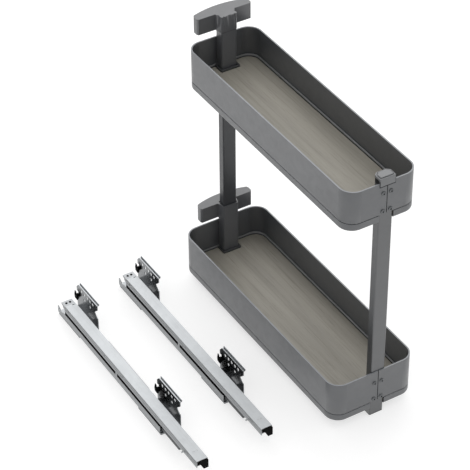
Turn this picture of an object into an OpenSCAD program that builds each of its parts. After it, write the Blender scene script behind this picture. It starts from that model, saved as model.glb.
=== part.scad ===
// Pull-out bottle rack: two round-cornered trays on two posts, with a pair of slide runners
// laid beside it. Millimetres, Z up, the rack's front is toward -Y.

/* [Trays] */
// length of both trays, front to back
tray_l = 480; // [400:5:520]
// width of the upper tray
upper_w = 132; // [110:1:150]
// width of the lower tray
lower_w = 160; // [140:1:190]
// outside corner radius of the trays
corner_r = 25; // [18:1:32]
// height of the upper tray, underside to rim
upper_h = 74; // [60:1:95]
// height of the lower tray, underside to rim
lower_h = 77.5; // [60:0.5:95]
// height of the upper tray's underside above the floor
upper_z = 403; // [300:1:450]
// height of the lower tray's underside above the floor
foot_h = 16; // [10:1:30]
// sheet thickness of the tray walls
wall_t = 1.8; // [1.5:0.1:2.5]
// height of the base pan's rim below the groove
pan_h = 13; // [10:0.5:18]
// thickness of the wooden base boards
wood_t = 16; // [12:0.5:19]

/* [Posts] */
// width of the rectangular post tube
post_w = 26; // [22:1:32]
// depth of the rectangular post tube
post_d = 15; // [12:1:20]
// wall thickness of the post tube
post_t = 1.5; // [1:0.1:2.5]
// how far the posts stand to the right of the trays' centre line
post_x = 6; // [0:1:12]
// depth of the cap on the front post
cap_d = 20; // [18:1:26]
// half the length of a rear support's arms
arm_l = 52; // [35:1:62]
// height of a rear support's arms
arm_h = 30; // [24:1:38]
// clear height between a tray's rim and the arms of its rear support, upper tray
upper_rise = 17; // [8:1:24]
// clear height between a tray's rim and the arms of its rear support, lower tray
lower_rise = 10; // [8:1:24]

/* [Runners] */
// length of the sliding top rail
rail_l = 445; // [400:5:500]
// length of the fixed channel
channel_l = 356; // [320:2:400]
// how far the top rail can be pulled out
travel = 300; // [200:10:300]
// height of the top rail's upper face above the floor
rail_z = 36; // [34:0.5:40]
// length of a mounting bracket along the runner
bracket_l = 75; // [66:1:84]
// height of a bracket's tall plate
bracket_h = 58; // [50:1:70]
// distance between the two runners
runner_gap = 126; // [70:1:160]
// clear distance from the right runner to the lower tray
rack_gap = 74; // [30:1:120]

/* [Hidden] */
$fn = 48;
e = 0.02;
tl2 = tray_l / 2;
pan_t = 1.5;
groove = 1.5;
hem_t = 2.4;
seam = 1.4;
up_top = pan_h + 6;
wood_top = pan_t + wood_t;
bead_r = 1.4;
upper_rim = upper_z + upper_h;
lower_rim = foot_h + lower_h;
front_y = -tl2 + wall_t;
rear_y = tl2 - wall_t - pan_t - 0.5 - post_d;
cap_w = post_w + 3;
cap_drop = 5.5;
cap_seat = upper_rim - cap_drop;
cap_top = cap_seat + 15.5;
rear_top = upper_rim + upper_rise + arm_h - 5.5;
screw_dx = 7;
screw_z = [20, 54];
head_h = 2.2;
arm_y = tl2 - 7;
arm_back = 24;
fix_z = [8, 21];
sleeve_w = 4;
neck_y = rear_y - 3;
neck_w = post_w + sleeve_w;
bow = 9;
bow_r = (arm_l * arm_l + bow * bow) / (2 * bow);
ch_w = 20.3;
ch_z = 3.6;
ch_h = 15.4;
damp_x = ch_w + 5.8;
damp_z = ch_z + 5.8;
damp_y = 90;
sheet = 1.2;
out_w = ch_w + 18.1;
hem_w = 3;
mid_x = ch_w / 2;
mid_y = -57;
mid_z = ch_z + 5;
mid_l = channel_l - 34;
top_rear = channel_l - 30;
top_front = top_rear - rail_l;
flange_z = rail_z - 13.5;
pin_l = 4.2;
cage_l = 160;
cage_y = mid_y + 5 + travel / 4;
front_at = -3.5;
rear_at = channel_l - bracket_l - 3;
rivet_in = 18;
right_x = -lower_w / 2 - rack_gap - out_w - hem_w;
left_x = right_x - runner_gap;
right_y = -tl2 + 154;
left_y = right_y - 9;
x_lo = left_x - pin_l;
x_hi = lower_w / 2;
y_lo = -tl2 - head_h;
y_hi = right_y + channel_l;
ox = -(x_lo + x_hi) / 2;
oy = -(y_lo + y_hi) / 2;

// 2D and solid helpers
module rrect(w, l, r) {
  square([w - 2 * r, l], center = true);
  square([w, l - 2 * r], center = true);
  for (sx = [-1, 1], sy = [-1, 1])
    translate([sx * (w / 2 - r), sy * (l / 2 - r)]) circle(r = r);
}

// carries a wall profile round a round-cornered rectangle; x is measured from the outer face
module wall_ring(w, l, r) {
  for (k = [0:3])
    rotate([0, 0, 90 * k]) {
      a = (k % 2 == 0) ? w : l;
      b = (k % 2 == 0) ? l : w;
      translate([a / 2 - r, b / 2 - r, 0]) rotate_extrude(angle = 90) translate([r, 0]) children();
      translate([a / 2, 0, 0]) rotate([90, 0, 0])
        linear_extrude(height = b - 2 * r + e, center = true) children();
    }
}

module place() {
  translate([ox, oy, 0]) children();
}

module tube(h) {
  difference() {
    linear_extrude(height = h) rrect(post_w, post_d, 2);
    translate([0, 0, -1]) linear_extrude(height = h + 2)
      rrect(post_w - 2 * post_t, post_d - 2 * post_t, 1);
  }
}

module screw_spots() {
  for (s = [-1, 1], z = screw_z)
    translate([post_x + s * screw_dx, 0, z]) children();
}

// room that the posts need in a pan, a board and a bead
module front_post_room() {
  translate([post_x - post_w / 2 - 0.4, -tl2 - 1, -1])
    cube([post_w + 0.8, wall_t + post_d + 1.4, 40]);
}

module rear_post_room(dx = 0.3, dy = 0.3) {
  translate([post_x - post_w / 2 - dx, rear_y - dy, -1])
    cube([post_w + 2 * dx, post_d + dy + 0.3, 40]);
}

// Trays
module band(w, h, notch) {
  foot = pan_h + groove;
  difference() {
    translate([0, 0, foot]) linear_extrude(height = h - foot) rrect(w, tray_l, corner_r);
    translate([0, 0, foot - 1]) linear_extrude(height = h - 7 - foot + 1)
      rrect(w - 2 * wall_t, tray_l - 2 * wall_t, corner_r - wall_t);
    translate([0, 0, foot]) linear_extrude(height = h)
      rrect(w - 2 * hem_t, tray_l - 2 * hem_t, corner_r - hem_t);
    translate([post_x - seam / 2, -tl2 - 1, pan_h - 1]) cube([seam, 8, h]);
    translate([post_x - post_w / 2 - 0.4, front_y, pan_h - 1]) cube([post_w + 0.8, 8, h]);
    screw_spots() translate([0, -tl2 - 1, 0]) rotate([-90, 0, 0]) cylinder(d = 4.4, h = 6);
    if (notch)
      translate([post_x - cap_w / 2 - 0.4, -tl2 - 1, h - cap_drop]) cube([cap_w + 0.8, 9, 12]);
  }
}

module pan(w) {
  up = 2 * (wall_t + pan_t);
  difference() {
    union() {
      wall_ring(w, tray_l, corner_r) {
        translate([-7, 0]) square([4, 3]);
        intersection() {
          translate([-3, 3]) circle(r = 3);
          translate([-3 - e, 0]) square([3 + e, 3]);
        }
      }
      linear_extrude(height = 3) rrect(w - 12, tray_l - 12, corner_r - 6);
      translate([0, 0, 3 - e]) linear_extrude(height = pan_h - 3 + e) rrect(w, tray_l, corner_r);
      translate([0, 0, pan_h - e]) linear_extrude(height = up_top - pan_h + e)
        rrect(w - 2 * wall_t, tray_l - 2 * wall_t, corner_r - wall_t);
    }
    translate([0, 0, pan_t]) linear_extrude(height = 3)
      rrect(w - 6, tray_l - 6, corner_r - 3);
    translate([0, 0, 3]) linear_extrude(height = pan_h - pan_t - 3)
      rrect(w - 2 * pan_t, tray_l - 2 * pan_t, corner_r - pan_t);
    translate([0, 0, pan_t + 1]) linear_extrude(height = up_top)
      rrect(w - up, tray_l - up, corner_r - up / 2);
    front_post_room();
    rear_post_room();
  }
}

module board(w) {
  in = 2 * (wall_t + 2 * bead_r + 0.3);
  difference() {
    translate([0, 0, pan_t]) linear_extrude(height = wood_t)
      rrect(w - in, tray_l - in, corner_r - in / 2);
    front_post_room();
    rear_post_room(3.3 + sleeve_w / 2, 3.8 + sleeve_w);
  }
}

module bead(w) {
  difference() {
    wall_ring(w, tray_l, corner_r) {
      translate([-wall_t - 2 * bead_r, up_top]) square([2 * bead_r, bead_r]);
      translate([-wall_t - bead_r, up_top + bead_r]) circle(r = bead_r);
    }
    translate([0, 0, 5]) front_post_room();
    translate([0, 0, 5]) rear_post_room(6, 8);
  }
}

// collar that stands on the pan round the rear post; above the board it clears the support's sleeve
module flange() {
  fit = post_w + 0.2;
  translate([post_x, rear_y + post_d / 2, 0]) difference() {
    translate([0, -2 - sleeve_w / 2, pan_t]) linear_extrude(height = wood_t + 3)
      rrect(post_w + 6 + sleeve_w, post_d + 3 + sleeve_w, 2.5);
    translate([-neck_w / 2 - 10, post_d / 2, 0]) cube([neck_w + 20, 20, wood_top + 10]);
    translate([-fit / 2, -post_d / 2 - 0.1, 0]) cube([fit, post_d + 4, wood_top + 10]);
    translate([-(fit + sleeve_w) / 2, -post_d / 2 - 0.1 - sleeve_w, wood_top])
      cube([fit + sleeve_w, post_d + 4 + sleeve_w, 10]);
  }
}

module upper_tray_band() { color([0.45, 0.46, 0.47]) place() translate([0, 0, upper_z]) band(upper_w, upper_h, true); }
module upper_base_pan() { color([0.45, 0.46, 0.47]) place() translate([0, 0, upper_z]) pan(upper_w); }
module upper_wood_base() { color([0.53, 0.52, 0.48]) place() translate([0, 0, upper_z]) board(upper_w); }
module upper_lip_bead() { color([0.4, 0.41, 0.42]) place() translate([0, 0, upper_z]) bead(upper_w); }
module lower_tray_band() { color([0.45, 0.46, 0.47]) place() translate([0, 0, foot_h]) band(lower_w, lower_h, false); }
module lower_base_pan() { color([0.45, 0.46, 0.47]) place() translate([0, 0, foot_h]) pan(lower_w); }
module lower_wood_base() { color([0.53, 0.52, 0.48]) place() translate([0, 0, foot_h]) board(lower_w); }
module lower_lip_bead() { color([0.4, 0.41, 0.42]) place() translate([0, 0, foot_h]) bead(lower_w); }

// Posts
module post_holes() {
  for (z0 = [foot_h, upper_z])
    translate([0, 0, z0]) screw_spots()
      translate([0, front_y - 1, 0]) rotate([-90, 0, 0]) cylinder(d = 4.3, h = post_t + 2);
}

module front_post() {
  color([0.42, 0.43, 0.44]) place() difference() {
    translate([post_x, front_y + post_d / 2, 1.5]) tube(cap_seat - 1.5);
    post_holes();
  }
}

module fix_holes(y, h) {
  for (z = fix_z) translate([0, y, z]) rotate([-90, 0, 0]) cylinder(d = 3.2, h = h);
}

module rear_post() {
  color([0.42, 0.43, 0.44]) place() difference() {
    translate([post_x, rear_y + post_d / 2, 1.5]) tube(rear_top - 1.5);
    for (z0 = [lower_rim + lower_rise, upper_rim + upper_rise])
      translate([post_x, 0, z0]) fix_holes(rear_y + post_d - 3, 4);
  }
}

// the cap's top is chamfered on all four sides by crossing two chamfered bars
module front_post_cap() {
  d = cap_d;
  w = cap_w;
  h = cap_top - cap_seat;
  c = 2.4;
  color([0.5, 0.5, 0.51]) place() translate([post_x, front_y - wall_t - 1 + d / 2, cap_seat]) {
    intersection() {
      rotate([90, 0, 0]) linear_extrude(height = d + 4, center = true)
        polygon([[-w / 2 + 0.8, 0], [w / 2 - 0.8, 0], [w / 2 - 0.8, h - 6], [w / 2, h - 5.4],
          [w / 2, h - c], [w / 2 - c, h], [-w / 2 + c, h], [-w / 2, h - c],
          [-w / 2, h - 5.4], [-w / 2 + 0.8, h - 6]]);
      rotate([90, 0, 90]) linear_extrude(height = w + 4, center = true)
        polygon([[-d / 2 + 0.8, 0], [d / 2 - 0.8, 0], [d / 2 - 0.8, h - 6], [d / 2, h - 5.4],
          [d / 2, h - c], [d / 2 - c, h], [-d / 2 + c, h], [-d / 2, h - c],
          [-d / 2, h - 5.4], [-d / 2 + 0.8, h - 6]]);
    }
    translate([0, wall_t + 1 + post_d / 2 - d / 2, -7]) linear_extrude(height = 7 + e)
      rrect(post_w - 2 * post_t - 0.2, post_d - 2 * post_t - 0.2, 0.8);
  }
}

module foot_plug(y) {
  translate([post_x, y + post_d / 2, 0]) {
    linear_extrude(height = 1.5) rrect(post_w, post_d, 2);
    linear_extrude(height = 14) rrect(post_w - 2 * post_t - 0.2, post_d - 2 * post_t - 0.2, 0.8);
  }
}

module front_foot_plug() { color([0.1, 0.1, 0.1]) place() foot_plug(front_y); }
module rear_foot_plug() { color([0.1, 0.1, 0.1]) place() foot_plug(rear_y); }

module nut_plates_at(z0) {
  translate([0, 0, z0]) difference() {
    translate([post_x - 11, front_y + post_t, screw_z[0] - 9])
      cube([22, 3, screw_z[1] - screw_z[0] + 14]);
    screw_spots() translate([0, front_y, 0]) rotate([-90, 0, 0]) cylinder(d = 4.1, h = 8);
  }
}

module nut_plates() {
  color([0.75, 0.76, 0.77]) place() {
    nut_plates_at(foot_h);
    nut_plates_at(upper_z);
  }
}

// button-head screws with a hexagonal socket; the heads lie on the band
module band_screws_at(z0) {
  translate([0, 0, z0]) screw_spots() translate([0, -tl2, 0]) rotate([-90, 0, 0]) difference() {
    union() {
      rotate_extrude() polygon([[0, -e], [3.8, -e], [3.8, -0.7], [3.3, -1.5], [2.5, -head_h],
        [0, -head_h]]);
      translate([0, 0, -0.5]) cylinder(d = 4, h = 9);
    }
    translate([0, 0, -head_h - 1]) cylinder(d = 3.4, h = 2.4, $fn = 6);
  }
}

module upper_band_screws() { color([0.55, 0.56, 0.57]) place() band_screws_at(upper_z); }
module lower_band_screws() { color([0.55, 0.56, 0.57]) place() band_screws_at(foot_h); }
module upper_post_flange() { color([0.15, 0.15, 0.16]) place() translate([0, 0, upper_z]) flange(); }
module lower_post_flange() { color([0.15, 0.15, 0.16]) place() translate([0, 0, foot_h]) flange(); }

// Rear supports: arms with a bowed back and a sleeve that comes down the post to the board
module support_arms() {
  linear_extrude(height = arm_h) intersection() {
    translate([0, arm_y + arm_back - bow_r]) circle(r = bow_r, $fn = 160);
    polygon([[-arm_l + 2, arm_y], [arm_l - 2, arm_y], [arm_l, arm_y + 3], [arm_l, arm_y + 12],
      [arm_l - 6, arm_y + arm_back], [6 - arm_l, arm_y + arm_back], [-arm_l, arm_y + 12],
      [-arm_l, arm_y + 3]]);
  }
}

module sleeve_shape(inset) {
  w = neck_w - 2 * inset;
  y = neck_y + inset;
  polygon([[-w / 2, rear_y + post_d], [-w / 2, y + 1.5], [-w / 2 + 1.5, y],
    [w / 2 - 1.5, y], [w / 2, y + 1.5], [w / 2, rear_y + post_d]]);
}

module neck_shape() {
  polygon([[-neck_w / 2, neck_y + 1.5], [-neck_w / 2 + 1.5, neck_y], [neck_w / 2 - 1.5, neck_y],
    [neck_w / 2, neck_y + 1.5], [neck_w / 2 + 4, arm_y + 2], [-neck_w / 2 - 4, arm_y + 2]]);
}

// scoops that open toward the top: one wide and two narrow in front, one deep on each side
module flutes(h) {
  translate([0, neck_y - 6, 0]) cylinder(r1 = 5.8, r2 = 8, h = h);
  for (s = [-1, 1]) {
    translate([s * 10.2, neck_y - 1.2, 0]) cylinder(r1 = 1.1, r2 = 2.9, h = h);
    translate([s * (neck_w / 2 + 5), neck_y + 7.5, 0]) cylinder(r1 = 3, r2 = 5.6, h = h);
  }
}

// drawn with the arms' underside at z = 0; down is the way to the board, up is the socket's depth
module support_body(down, up, inset) {
  difference() {
    union() {
      support_arms();
      linear_extrude(height = arm_h) neck_shape();
      translate([0, 0, -down]) linear_extrude(height = down + 5) sleeve_shape(inset);
    }
    translate([-(post_w + 0.2) / 2, rear_y - 0.1, -down - 5])
      cube([post_w + 0.2, post_d + 0.2, down + 5 + up]);
    fix_holes(rear_y + post_d - 1, 25);
    children();
  }
}

module top_support_body() {
  support_body(upper_h + upper_rise - wood_top, arm_h - 5, 0.6)
    translate([0, 0, 3]) flutes(arm_h);
}

module low_support_body() {
  support_body(lower_h + lower_rise - wood_top, arm_h + 5, 0)
    translate([-post_w / 2 - 1.2, rear_y - 1.3, arm_h - 3]) cube([post_w + 2.4, post_d + 2.6, 5]);
}

module top_rear_support() { color([0.34, 0.35, 0.36]) place() translate([post_x, 0, upper_rim + upper_rise]) top_support_body(); }
module low_rear_support() { color([0.34, 0.35, 0.36]) place() translate([post_x, 0, lower_rim + lower_rise]) low_support_body(); }

module support_screws() {
  color([0.7, 0.71, 0.72]) place()
    for (z0 = [lower_rim + lower_rise, upper_rim + upper_rise], z = fix_z)
      translate([post_x, 0, z0 + z]) rotate([-90, 0, 0]) {
        translate([0, 0, rear_y + post_d - 3]) cylinder(d = 3, h = arm_y + arm_back + 3 - rear_y - post_d + e);
        translate([0, 0, arm_y + arm_back]) cylinder(d = 7, h = 1.6);
      }
}

// Runner pieces, each drawn with its outer left side at x = 0 and its channel's front at y = 0.
// mirror_half draws a profile on both sides of the runner's middle.
module mirror_half() {
  children();
  translate([2 * mid_x, 0]) mirror([1, 0]) children();
}

module along(y, l) {
  translate([0, y + l, 0]) rotate([90, 0, 0]) linear_extrude(height = l) children();
}

module at_brackets() {
  for (y = [front_at, rear_at]) translate([0, y, 0]) children();
}

module at_rivets() {
  at_brackets() for (y = [rivet_in, bracket_l - rivet_in]) translate([mid_x, y, 0]) children();
}

// the left wall ends in a pointed ear at the rear and has one lug that reaches up to the rail
module channel() {
  l = channel_l;
  difference() {
    union() {
      translate([0, 0, ch_z]) cube([ch_w, l, sheet]);
      rotate([90, 0, 90]) linear_extrude(height = sheet)
        polygon([[0, ch_z], [l, ch_z], [l, ch_h + 2.6], [l - 2, ch_h + 3.1], [l - 10, ch_h - 2.4],
          [l - 17, ch_h - 1.6], [l - 22, ch_h], [0, ch_h]]);
      translate([0, 143, ch_h - e]) cube([sheet, 5.5, flange_z - 0.5 - ch_h]);
      translate([ch_w - sheet, 0, ch_z]) cube([sheet, l - 8, ch_h - ch_z]);
    }
    translate([-1, l - 5, ch_h - 3.4]) rotate([0, 90, 0]) cylinder(d = 4, h = 6);
    at_rivets() cylinder(d = 4.2, h = 8);
    translate([mid_x - 3, l / 2 - 12, 0]) cube([6, 24, 8]);
  }
}

module liner_half() {
  in = sheet;
  z = mid_z;
  polygon([[in, ch_z + sheet], [mid_x - 3.4, ch_z + sheet], [mid_x - 3.4, z - 0.3], [in + 1.6, z - 0.3],
    [in + 1.6, z + 1.5], [mid_x - 5.6, z + 1.5], [mid_x - 5.6, z + 3], [in + 1.6, z + 3],
    [in + 1.6, flange_z - 0.9], [in, flange_z - 0.9]]);
}

module liners() {
  along(1, channel_l - 26) mirror_half() liner_half();
}

module bracket_plate() {
  b = bracket_l;
  h = bracket_h;
  rotate([90, 0, 90]) linear_extrude(height = 1.5) difference() {
    polygon([[0, 0], [b, 0], [b, h - 33], [b - 5, h - 32], [b - 5, h - 19], [b, h - 20],
      [b, h - 11], [b - 7, h - 3], [0, h - 3], [0, h - 13], [2.5, h - 15.5], [6, h - 19],
      [10.5, h - 22.5], [10.5, h - 25], [7, h - 28.5], [3.5, h - 31], [0, h - 32]]);
    for (k = [-2:2]) translate([b / 2 + 10.2 * k, h - 12]) circle(d = 6);
    for (k = [-1, 1]) translate([b / 2 + 10.2 * k, h - 24.5]) circle(d = 5.5);
  }
}

// the base is a shallow tray turned over, the tall plate carries a stepped hem and a rear tab
module bracket() {
  b = bracket_l;
  h = bracket_h;
  difference() {
    union() {
      translate([0, 0, ch_z - 1.5]) cube([out_w, b, 1.5]);
      cube([1.5, b, ch_z]);
      cube([out_w, 1.5, ch_z]);
      translate([0, b - 1.5, 0]) cube([out_w, 1.5, ch_z]);
      translate([out_w - 1.5, 0, 0]) bracket_plate();
      translate([out_w - e, 0, h - 4.2]) cube([hem_w + e, b - 7, 1.2]);
      translate([out_w + hem_w - 1.2, 0, h - 4.2]) cube([1.2, b - 7, 4.2]);
      translate([out_w - 7.5, b - 1.5, 0]) rotate([90, 0, 0]) translate([0, 0, -1.5])
        linear_extrude(height = 1.5)
          polygon([[7.5, h - 44], [7.5, h - 33.5], [5, h - 31], [4, h - 21], [2, h - 17],
            [0.5, h - 25], [1, h - 33], [4, h - 40]]);
    }
    for (y = [rivet_in, b - rivet_in]) translate([mid_x, y, -1]) cylinder(d = 4.2, h = 8);
    translate([27, b / 2 - 10, -1]) cube([5, 20, 8]);
  }
}

module at_front_bracket() { translate([0, front_at, 0]) children(); }
module at_rear_bracket() { translate([0, rear_at, 0]) children(); }

module clips() {
  at_brackets() clip();
}

module clip() {
  h = bracket_h;
  translate([out_w - 1.5 - 6, bracket_l - 12, h - 30]) cube([6, 8, 10.5]);
  translate([out_w - 1.5 - 7.5, bracket_l - 10.5, h - 28]) cube([2, 5, 6]);
}

module rivets() {
  at_rivets() {
    translate([0, 0, ch_z - 1.2]) cylinder(d = 4, h = sheet + 1.3);
    translate([0, 0, ch_z + sheet]) cylinder(d = 5.4, h = 1);
  }
}

// the bent-up front end stops the roller cage when the top rail is pulled out by its travel
module middle_rail() {
  top = rail_z - 6.6;
  along(mid_y, mid_l) {
    translate([sheet + 2, mid_z]) square([ch_w - 2 * sheet - 4, sheet]);
    translate([mid_x - 0.6, mid_z + 0.4]) square([1.2, top + 0.8 - mid_z - 0.4]);
    translate([mid_x - 5.5, top]) square([11, 1.2]);
    mirror_half() translate([sheet + 3.7, mid_z]) square([1.2, flange_z + 1.5 - mid_z]);
  }
  translate([mid_x - 5.5, mid_y, top]) cube([11, 1.4, 4.4]);
}

module roller_cage() {
  difference() {
    translate([mid_x - 4.9, cage_y, rail_z - 4]) cube([9.8, cage_l, 1.6]);
    for (k = [0:7])
      translate([mid_x - 3.9, cage_y + 8 + 19 * k, rail_z - 5]) cube([7.8, 4.2, 4]);
  }
}

module rollers() {
  for (k = [0:7])
    translate([mid_x - 3.7, cage_y + 10.1 + 19 * k, rail_z - 3.3]) rotate([0, 90, 0])
      cylinder(d = 3.6, h = 7.4);
}

// side flange with two rolled-in lines; lips under the rail hold it on the middle rail
module top_rail() {
  lip_z = rail_z - 10.4;
  difference() {
    along(top_front, rail_l) {
      translate([0, rail_z - sheet]) square([ch_w, sheet]);
      translate([0, flange_z]) square([sheet, rail_z - flange_z]);
      translate([ch_w - sheet, lip_z]) square([sheet, rail_z - lip_z]);
      translate([0.6, lip_z]) square([mid_x - 2.7, sheet]);
      translate([mid_x + 2.1, lip_z]) square([mid_x - 2.7, sheet]);
    }
    translate([-1, top_front - 1, rail_z - 3.1]) cube([1.5, rail_l + 2, 1]);
    translate([-1, 0, rail_z - 8.2]) cube([1.5, rail_l, 0.9]);
    translate([-1, top_front + 26, rail_z - 5.6]) cube([2.5, 9, 1.6]);
    translate([-1, top_rear - 14, rail_z - 6]) cube([2.5, 5, 2]);
    for (p = [[185, rail_z - 5.5], [133, flange_z + 1.7], [122, rail_z - 5.5]])
      translate([-1, p[0], p[1]]) rotate([0, 90, 0]) cylinder(d = 2.4, h = 2.5);
    translate([mid_x + 2.4, top_rear - 3, rail_z - 2]) cube([5, 1.6, 3]);
    for (x = [mid_x - 3, mid_x + 3])
      translate([x, top_front + 22, rail_z - 2]) cylinder(d = 3.2, h = 4);
  }
}

// a plate with two holes that lies under the rail's rear end and widens behind it
module rear_hook() {
  z = rail_z - 2 * sheet;
  in = sheet + 0.1;
  difference() {
    union() {
      translate([in, top_rear - 6, z]) cube([ch_w - 2 * in, 7, sheet]);
      translate([in, top_rear - 6, rail_z - 8.8]) cube([1.2, 6.4, 8.8 - sheet]);
      translate([ch_w - in - 1.2, top_rear - 6, rail_z - 8.8]) cube([1.2, 6.4, 8.8 - sheet]);
      translate([0.1, top_rear + 0.3, z]) cube([ch_w - 0.2, 14.7, sheet]);
      translate([0.1, 0, 0]) rotate([90, 0, 90]) linear_extrude(height = 1.3)
        polygon([[top_rear + 0.3, z + e], [top_rear + 0.3, flange_z + 0.5],
          [top_rear + 4, flange_z + 0.5], [top_rear + 5, z - 7], [top_rear + 9, z - 6],
          [top_rear + 10, z - 2.5], [top_rear + 14, z - 1.5], [top_rear + 15, z + e]]);
    }
    for (x = [mid_x - 3.55, mid_x + 3.55])
      translate([x, top_rear + 8.4, rail_z - 5]) cylinder(d = 3.4, h = 6);
  }
}

module end_plug() {
  z = rail_z;
  along(top_front, 10) translate([sheet + 0.8, z - 8.9]) square([ch_w - 2 * sheet - 1.6, 7.4]);
  along(top_front - 2.6, 2.6)
    polygon([[1.6, z - 3.5], [5.2, z - 6.2], [11.4, z - 18.5], [ch_w - 0.1, z - 18.5],
      [ch_w - 0.1, z - 2.5], [17.2, z - 2.2], [16, z], [5.7, z], [4.5, z - 2.2]]);
}

module latch_pin() {
  translate([-pin_l, top_front + 42, rail_z - 12]) rotate([0, 90, 0])
    cylinder(d = 2, h = pin_l);
}

module damper_housing() {
  difference() {
    translate([ch_w, damp_y, damp_z - 5.3]) cube([11.6, 140, 10.6]);
    translate([damp_x, damp_y + 2, damp_z]) rotate([-90, 0, 0]) cylinder(d = 8.8, h = 136);
    translate([damp_x, damp_y - 2, damp_z]) rotate([-90, 0, 0]) cylinder(d = 4.6, h = 6);
  }
}

module damper_rod() {
  translate([damp_x, damp_y - 14, damp_z]) rotate([-90, 0, 0]) cylinder(d = 4, h = 82);
  translate([damp_x, damp_y + 68, damp_z]) rotate([-90, 0, 0]) cylinder(d = 8.2, h = 6);
}

module damper_catch() {
  translate([damp_x - 4.9, damp_y - 22, damp_z - 5.2]) cube([10, 8, 10.8]);
  translate([damp_x - 3.9, damp_y - 22, damp_z + 5.6 - e]) cube([4, 3, 6]);
}

module at_left() { place() translate([left_x, left_y, 0]) children(); }
module at_right() { place() translate([right_x, right_y, 0]) children(); }

zinc = [0.78, 0.8, 0.82];
black = [0.08, 0.08, 0.08];
steel = [0.7, 0.71, 0.72];
module left_channel() { color(zinc) at_left() channel(); }
module left_liners() { color(black) at_left() liners(); }
module left_front_bracket() { color(zinc) at_left() at_front_bracket() bracket(); }
module left_rear_bracket() { color(zinc) at_left() at_rear_bracket() bracket(); }
module left_clips() { color(black) at_left() clips(); }
module left_rivets() { color(steel) at_left() rivets(); }
module left_middle_rail() { color(steel) at_left() middle_rail(); }
module left_roller_cage() { color(black) at_left() roller_cage(); }
module left_rollers() { color(steel) at_left() rollers(); }
module left_top_rail() { color(zinc) at_left() top_rail(); }
module left_rear_hook() { color(zinc) at_left() rear_hook(); }
module left_end_plug() { color(black) at_left() end_plug(); }
module left_latch_pin() { color(steel) at_left() latch_pin(); }
module left_damper_housing() { color(black) at_left() damper_housing(); }
module left_damper_rod() { color(steel) at_left() damper_rod(); }
module left_damper_catch() { color(black) at_left() damper_catch(); }
module right_channel() { color(zinc) at_right() channel(); }
module right_liners() { color(black) at_right() liners(); }
module right_front_bracket() { color(zinc) at_right() at_front_bracket() bracket(); }
module right_rear_bracket() { color(zinc) at_right() at_rear_bracket() bracket(); }
module right_clips() { color(black) at_right() clips(); }
module right_rivets() { color(steel) at_right() rivets(); }
module right_middle_rail() { color(steel) at_right() middle_rail(); }
module right_roller_cage() { color(black) at_right() roller_cage(); }
module right_rollers() { color(steel) at_right() rollers(); }
module right_top_rail() { color(zinc) at_right() top_rail(); }
module right_rear_hook() { color(zinc) at_right() rear_hook(); }
module right_end_plug() { color(black) at_right() end_plug(); }
module right_latch_pin() { color(steel) at_right() latch_pin(); }
module right_damper_housing() { color(black) at_right() damper_housing(); }
module right_damper_rod() { color(steel) at_right() damper_rod(); }
module right_damper_catch() { color(black) at_right() damper_catch(); }

upper_tray_band();
upper_base_pan();
upper_wood_base();
upper_lip_bead();
lower_tray_band();
lower_base_pan();
lower_wood_base();
lower_lip_bead();
front_post();
rear_post();
front_post_cap();
front_foot_plug();
rear_foot_plug();
nut_plates();
upper_band_screws();
lower_band_screws();
upper_post_flange();
lower_post_flange();
top_rear_support();
low_rear_support();
support_screws();
left_channel();
left_liners();
left_front_bracket();
left_rear_bracket();
left_clips();
left_rivets();
left_middle_rail();
left_roller_cage();
left_rollers();
left_top_rail();
left_rear_hook();
left_end_plug();
left_latch_pin();
left_damper_housing();
left_damper_rod();
left_damper_catch();
right_channel();
right_liners();
right_front_bracket();
right_rear_bracket();
right_clips();
right_rivets();
right_middle_rail();
right_roller_cage();
right_rollers();
right_top_rail();
right_rear_hook();
right_end_plug();
right_latch_pin();
right_damper_housing();
right_damper_rod();
right_damper_catch();
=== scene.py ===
"""Looks of the pull-out bottle rack: finishes, small dressed pieces, studio and camera.

Lengths are in metres in the CAD's own frame, and colours are linear.
"""

import logging
import math
from dataclasses import dataclass, replace
from enum import Enum
from typing import Protocol, Sequence

import bmesh
import bpy
from mathutils import Euler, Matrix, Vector


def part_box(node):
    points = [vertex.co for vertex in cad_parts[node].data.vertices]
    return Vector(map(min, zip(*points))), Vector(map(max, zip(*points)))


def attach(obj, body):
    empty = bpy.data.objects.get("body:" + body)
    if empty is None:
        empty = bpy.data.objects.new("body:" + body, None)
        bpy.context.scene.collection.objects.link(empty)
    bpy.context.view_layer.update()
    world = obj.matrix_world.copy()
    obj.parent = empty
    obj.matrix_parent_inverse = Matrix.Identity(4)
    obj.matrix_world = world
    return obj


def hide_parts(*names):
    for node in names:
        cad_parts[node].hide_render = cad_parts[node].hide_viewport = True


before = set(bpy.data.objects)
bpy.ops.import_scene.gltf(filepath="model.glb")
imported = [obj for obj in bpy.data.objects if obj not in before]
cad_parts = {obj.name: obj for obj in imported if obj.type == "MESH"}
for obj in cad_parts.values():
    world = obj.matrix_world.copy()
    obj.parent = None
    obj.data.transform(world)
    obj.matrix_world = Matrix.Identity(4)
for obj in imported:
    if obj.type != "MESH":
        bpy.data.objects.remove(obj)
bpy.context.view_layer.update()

Socket = bpy.types.NodeSocket
Colour = tuple[float, float, float]
Repeats = tuple[float, float, float]
Pair = tuple[float, float]
Point = Sequence[float]

LOG = logging.getLogger("bottle_rack")
WHITE: Colour = (1.0, 1.0, 1.0)
UP = Vector((0, 0, 1))
RIGHT = Vector((1, 0, 0))
WELD_REACH = 0.00001
FLAT_DEGREES = 0.4
SHEET_DEGREES = 38.0
PIECE_DEGREES = 30.0
EDGE_STEPS = 2


# ---------------------------------------------------------------- shader graph
@dataclass(frozen=True)
class Noise:
    """One noise: repeats per metre along X, Y and Z, octaves, bend and weight of fine octaves."""

    repeats: Repeats
    detail: float = 2.0
    bend: float = 0.0
    fineness: float = 0.5


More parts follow.
